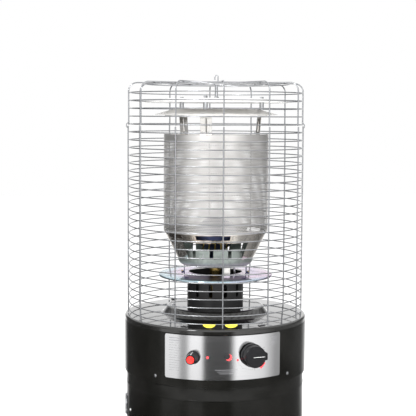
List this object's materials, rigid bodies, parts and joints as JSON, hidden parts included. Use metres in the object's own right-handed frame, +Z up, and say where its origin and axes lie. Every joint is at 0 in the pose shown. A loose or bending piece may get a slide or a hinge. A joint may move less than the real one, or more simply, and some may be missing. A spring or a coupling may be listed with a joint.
{
  "type": "outdoor gas heater",
  "caption": "Round free-standing gas area heater: black drum for a gas bottle, control ring with knob and igniter, burner and perforated emitter under two reflectors, in a domed wire guard.",
  "frame": {"origin": "on the floor under the drum's axis; the knob in front and the door handle behind reach equally far from it", "axes": "+Z up along the drum's axis, -Y out of the front with the control panel, +X to the right seen from the front"},
  "size_m": [0.478, 0.5417, 1.388],
  "materials": {
    "black_enamel": "gloss black baked enamel on pressed sheet",
    "black_satin_steel": "satin black heat-proof paint",
    "rubber": "matt moulded rubber",
    "chrome_wire": "bright chromed steel wire",
    "chrome_trim": "bright plated steel",
    "stainless": "bright stainless sheet, lightly brushed",
    "reflector_steel": "bright rolled sheet",
    "brushed_panel": "fine horizontal brushing",
    "heat_tinted_steel": "mirror polished with a pink and blue heat tint",
    "galvanised_steel": "grey galvanised sheet",
    "brass": "turned and cast brass",
    "copper": "drawn copper",
    "blued_steel": "dark blue heat-coloured steel",
    "black_gloss_plastic": "gloss black moulding",
    "black_matte_plastic": "black moulding",
    "red_plastic": "red moulded cap",
    "yellow_zinc": "yellow passivated sheet",
    "ceramic": "white fired ceramic"
  },
  "bodies": {
    "root": {"barrel_collar": "black_enamel", "barrel_shell": "black_enamel", "base_tray": "black_enamel", "bottle_ring": "black_satin_steel", "burner_bowl": "stainless", "burner_head": "stainless", "burner_neck": "black_satin_steel", "burner_post_1": "blued_steel", "burner_post_2": "blued_steel", "burner_post_3": "blued_steel", "burner_pot": "galvanised_steel", "burner_tube": "brass", "catch_magnet": "black_matte_plastic", "centre_rod": "chrome_trim", "ceramic_insulator": "ceramic", "control_panel": "brushed_panel", "control_ring": "black_enamel", "divider_plate": "galvanised_steel", "emitter_cap": "stainless", "emitter_screen": "stainless", "emitter_strap_1": "stainless", "emitter_strap_2": "stainless", "emitter_strap_3": "stainless", "foot_front_left": "rubber", "foot_front_right": "rubber", "foot_rear_left": "rubber", "foot_rear_right": "rubber", "gas_inlet": "brass", "gas_pipe": "copper", "gas_valve": "brass", "guard_body": "chrome_wire", "guard_cap": "chrome_wire", "guard_foot_left": "yellow_zinc", "guard_foot_right": "yellow_zinc", "heat_shield": "heat_tinted_steel", "hinge_lower_fixed": "chrome_trim", "hinge_lower_pin": "chrome_trim", "hinge_upper_fixed": "chrome_trim", "hinge_upper_pin": "chrome_trim", "igniter_bezel": "black_gloss_plastic", "igniter_body": "black_matte_plastic", "lifting_hook": "chrome_wire", "lower_reflector": "reflector_steel", "reflector_spacer_1": "chrome_trim", "reflector_spacer_2": "chrome_trim", "reflector_spacer_3": "chrome_trim", "sight_plug": "black_gloss_plastic", "spark_electrode": "stainless", "thermocouple": "copper", "tilt_switch": "black_matte_plastic", "top_plate": "black_enamel", "upper_reflector": "reflector_steel", "valve_bracket": "galvanised_steel"},
    "door": {"rear_door": "black_enamel", "hinge_upper_moving": "chrome_trim", "hinge_lower_moving": "chrome_trim", "door_handle": "chrome_trim"},
    "valve_stem": {"valve_spindle": "brass"},
    "knob": {"control_knob": "black_gloss_plastic"},
    "igniter_button": {"igniter_button": "red_plastic"}
  },
  "joints": [
    {"name": "door_hinge", "type": "hinge", "parent": "root", "child": "door", "pos_m": [-0.2365, 0, 0.3198], "axis": [0, 0, 1], "range_deg": [0, 110]},
    {"name": "knob_turn", "type": "hinge", "parent": "root", "child": "valve_stem", "pos_m": [0.06807, -0.24055, 0.6975], "axis": [0.2723, -0.9622, 0], "range_deg": [0, 210]},
    {"name": "knob_push", "type": "slide", "parent": "valve_stem", "child": "knob", "axis": [-0.2723, 0.9622, 0], "range_m": [0, 0.004], "stiffness_N_per_m": 600},
    {"name": "igniter_press", "type": "slide", "parent": "root", "child": "igniter_button", "axis": [0.314, 0.9494, 0], "range_m": [0, 0.005], "stiffness_N_per_m": 900}
  ]
}
